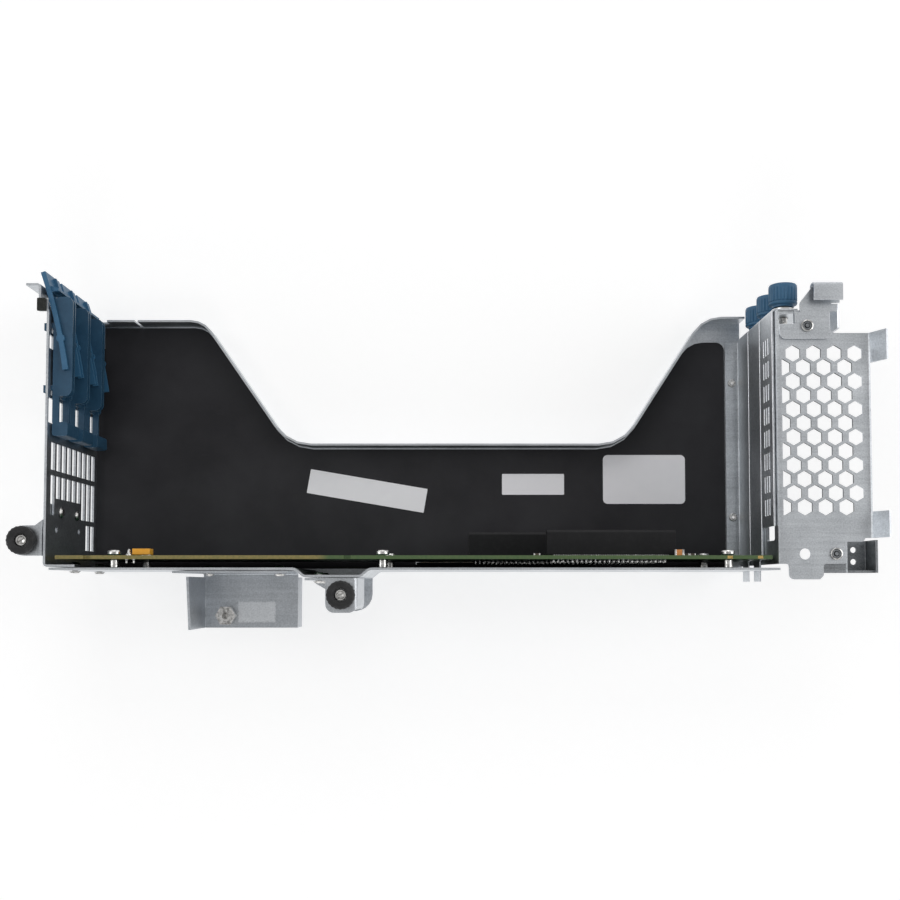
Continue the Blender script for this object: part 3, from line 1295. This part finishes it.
def build_front_arm(steel):
    """The arm outside the front wall that carries the front captive screw."""
    level = PLATE_LEVEL - ARM_PLATE_DROP
    flange_x = FRONT_X - FIT - SHEET / 2
    screw = arm_screw_place()
    end_x = screw.x - ARM_WIDTH / 2
    section = strip_outline([
        (flange_x, ARM_FLANGE_BOTTOM, 0), (flange_x, level, FOLD_CENTRE), (end_x, level, 0)])
    low = BASE_Y + ARM_BOTTOM
    arm = prism("front_arm", section, low, BASE_Y + ARM_FLANGE_TOP, "Y", steel)
    high = low + ARM_WIDTH
    radius = (ARM_WIDTH - FIT) / 2
    far_x = end_x - SHEET
    root_x = flange_x - 3 * SHEET
    trims = [
        (rounded_outline([
            (far_x, high, 0), (root_x, high, SHEET), (FRONT_X, high + 3 * SHEET, 0),
            (FRONT_X, BASE_Y + ARM_FLANGE_TOP + SHEET, 0), (far_x, BASE_Y + ARM_FLANGE_TOP + SHEET, 0)]),
         level - 2 * SHEET, level + SHEET),
        (circle(screw.x, screw.y, CAPTIVE_SCREW_RADIUS + FIT), level - SHEET, level + SHEET),
    ]
    cut(arm, prisms("arm_trims", trims))
    for y, side in ((low, -1), (high, 1)):
        corner = corner_waste(end_x, y, -1, side, radius)
        cut(arm, prism(f"arm_nose_{side}", corner, level - SHEET, level + SHEET))
    cut(arm, prisms("arm_holes", arm_hole_shapes(flange_x - SHEET, flange_x + SHEET), axis="X"))


def build_middle_bracket(steel):
    """The boxed bracket outside the wall's pocket that carries the middle captive screw."""
    level = PLATE_LEVEL - ARM_PLATE_DROP
    lobe = screw_lobe_centre()
    wall_y = BASE_Y - POCKET_DEPTH - FIT
    right = lobe.x + MIDDLE_HALF_WIDTH
    left = lobe.x - MIDDLE_HALF_WIDTH
    low_y = wall_y - MIDDLE_TOP_REACH
    section = strip_outline([
        (left, level, 0), (right - SHEET / 2, level, FOLD_CENTRE),
        (right - SHEET / 2, level - MIDDLE_DROP, FOLD_CENTRE),
        (right - MIDDLE_LOWER_LENGTH, level - MIDDLE_DROP, 0)])
    bracket = prism("middle_bracket", section, low_y, wall_y, "Y", steel)
    flange_left = right - MIDDLE_LOWER_LENGTH
    flange = prism("middle_flange", rectangle(
        flange_left, level - MIDDLE_FLANGE_HEIGHT, right - SHEET, level + SHEET / 2, SHEET / 4),
        wall_y - SHEET, wall_y, "Y")
    join(bracket, flange)
    slope = [
        Vector((flange_left - SHEET, wall_y - 1.5 * SHEET)), Vector((flange_left - SHEET, low_y - SHEET)),
        Vector((lobe.x, low_y - SHEET)), Vector((left, lobe.y))]
    trims = [
        (slope, 0.0, level - 2 * SHEET),
        (circle(lobe.x, lobe.y, CAPTIVE_SCREW_RADIUS + FIT), 0.0, level + SHEET),
    ]
    cut(bracket, prisms("middle_trims", trims))
    for side in (-1, 1):
        corner = corner_waste(lobe.x + side * MIDDLE_HALF_WIDTH, low_y, side, -1, MIDDLE_NOSE_RADIUS)
        cut(bracket, prism(f"middle_nose_{side}", corner, 0.0, CAGE_HEIGHT + SHEET))
    holes = [(circle(place.x, place.z, RIVET_RADIUS + FIT, 12), wall_y - 2 * SHEET, wall_y + SHEET)
             for place in middle_rivet_places()]
    cut(bracket, prisms("middle_rivet_holes", holes, axis="Y"))


def build_side_bracket(steel):
    """The box shaped bracket below the side wall, with its threaded stud."""
    left = FRONT_X + SIDE_AT
    right = left + SIDE_LENGTH
    wall_y = BASE_Y - FIT - SHEET / 2
    low_y = BASE_Y - SIDE_REACH
    section = strip_outline([
        (wall_y, CAGE_HEIGHT, 0), (wall_y, SIDE_LEVEL, FOLD_CENTRE), (low_y, SIDE_LEVEL, 0)])
    bracket = prism("side_bracket", section, left - SIDE_EAR, right, "X", steel)
    trim = rectangle(left - 2 * SIDE_EAR, low_y - SHEET, left, BASE_Y - FIT - SHEET)
    cut(bracket, prism("ear_trim", trim, 0.0, CAGE_HEIGHT - SIDE_REACH / 2))
    cheek_y = wall_y - 2 * SHEET
    join(bracket, prism("left_cheek", [
        Vector((cheek_y, SIDE_LEVEL - SHEET / 2)), Vector((cheek_y, CAGE_HEIGHT)),
        Vector((low_y, CAGE_HEIGHT - 5 * SHEET)), Vector((low_y, SIDE_LEVEL - SHEET / 2))],
        left, left + SHEET, "X"))
    join(bracket, prism("right_cheek", rectangle(
        low_y, SIDE_LEVEL - SIDE_RETURN, cheek_y, SIDE_LEVEL + SHEET / 2), right - SHEET, right, "X"))
    holes = [(circle(place.x, place.z, RIVET_RADIUS + FIT, 12), wall_y - SHEET, wall_y + SHEET)
             for place in side_rivet_places()]
    cut(bracket, prisms("side_rivet_holes", holes, axis="Y"))
    stud_x = left + SIDE_STUD_FROM_END + SHEET
    stud_y = BASE_Y - SIDE_STUD_DEPTH
    stud_hole = prism("stud_hole", circle(stud_x, stud_y, SIDE_STUD_BORE + 2 * FIT, 16), 0.0, CAGE_HEIGHT)
    cut(bracket, stud_hole)
    seat = SIDE_LEVEL + SHEET / 2 + FIT
    top = seat + SIDE_STUD_HEIGHT
    nut = circle(0, 0, SIDE_STUD_FLATS / math.sqrt(3), 6)
    stud = prism("side_stud", nut, seat, top, finish_material=steel)
    stud.location = (stud_x, stud_y, 0.0)
    neck_end = SIDE_LEVEL - SHEET / 2 - 2 * FIT
    neck = prism("stud_neck", circle(stud_x, stud_y, SIDE_STUD_BORE + FIT, 16), neck_end, seat + SHEET)
    join(stud, neck)
    bore = prism("stud_bore", circle(stud_x, stud_y, SIDE_STUD_BORE * 0.8, 12), neck_end + SHEET, top + SHEET)
    cut(stud, bore)


def main():
    """Build every piece of the assembly."""
    clear_scene()
    galvanised = material("galvanised_steel", (0.60, 0.62, 0.63), 0.42, 1.0)
    bright = material("bright_steel", (0.72, 0.72, 0.70), 0.30, 1.0)
    film_black = material("black_film", (0.018, 0.018, 0.021), 0.55)
    latch_blue = material("blue_plastic", (0.026, 0.110, 0.215), 0.42)
    knob_black = material("black_plastic", (0.020, 0.020, 0.021), 0.50)
    connector_black = material("connector_black", (0.012, 0.012, 0.013), 0.45)
    board_green = material("board_laminate", (0.030, 0.115, 0.050), 0.45)
    header_amber = material("header_amber", (0.72, 0.28, 0.03), 0.50)
    build_cage(galvanised)
    build_film(film_black)
    build_front_wall(galvanised)
    build_latches(latch_blue)
    build_rear_frame(galvanised)
    build_slot_covers(galvanised)
    build_cover_screws(bright, latch_blue)
    build_catch(galvanised)
    build_clip(galvanised)
    build_board(board_green)
    build_board_fasteners(bright)
    build_connectors(connector_black)
    build_header(header_amber)
    build_rivets(bright)
    build_front_arm(galvanised)
    level = PLATE_LEVEL - ARM_PLATE_DROP + SHEET / 2
    captive_screw("front", bright, knob_black, arm_screw_place(), level)
    build_middle_bracket(galvanised)
    captive_screw("middle", bright, knob_black, screw_lobe_centre(), level)
    build_side_bracket(galvanised)


if __name__ == "__main__":
    main()
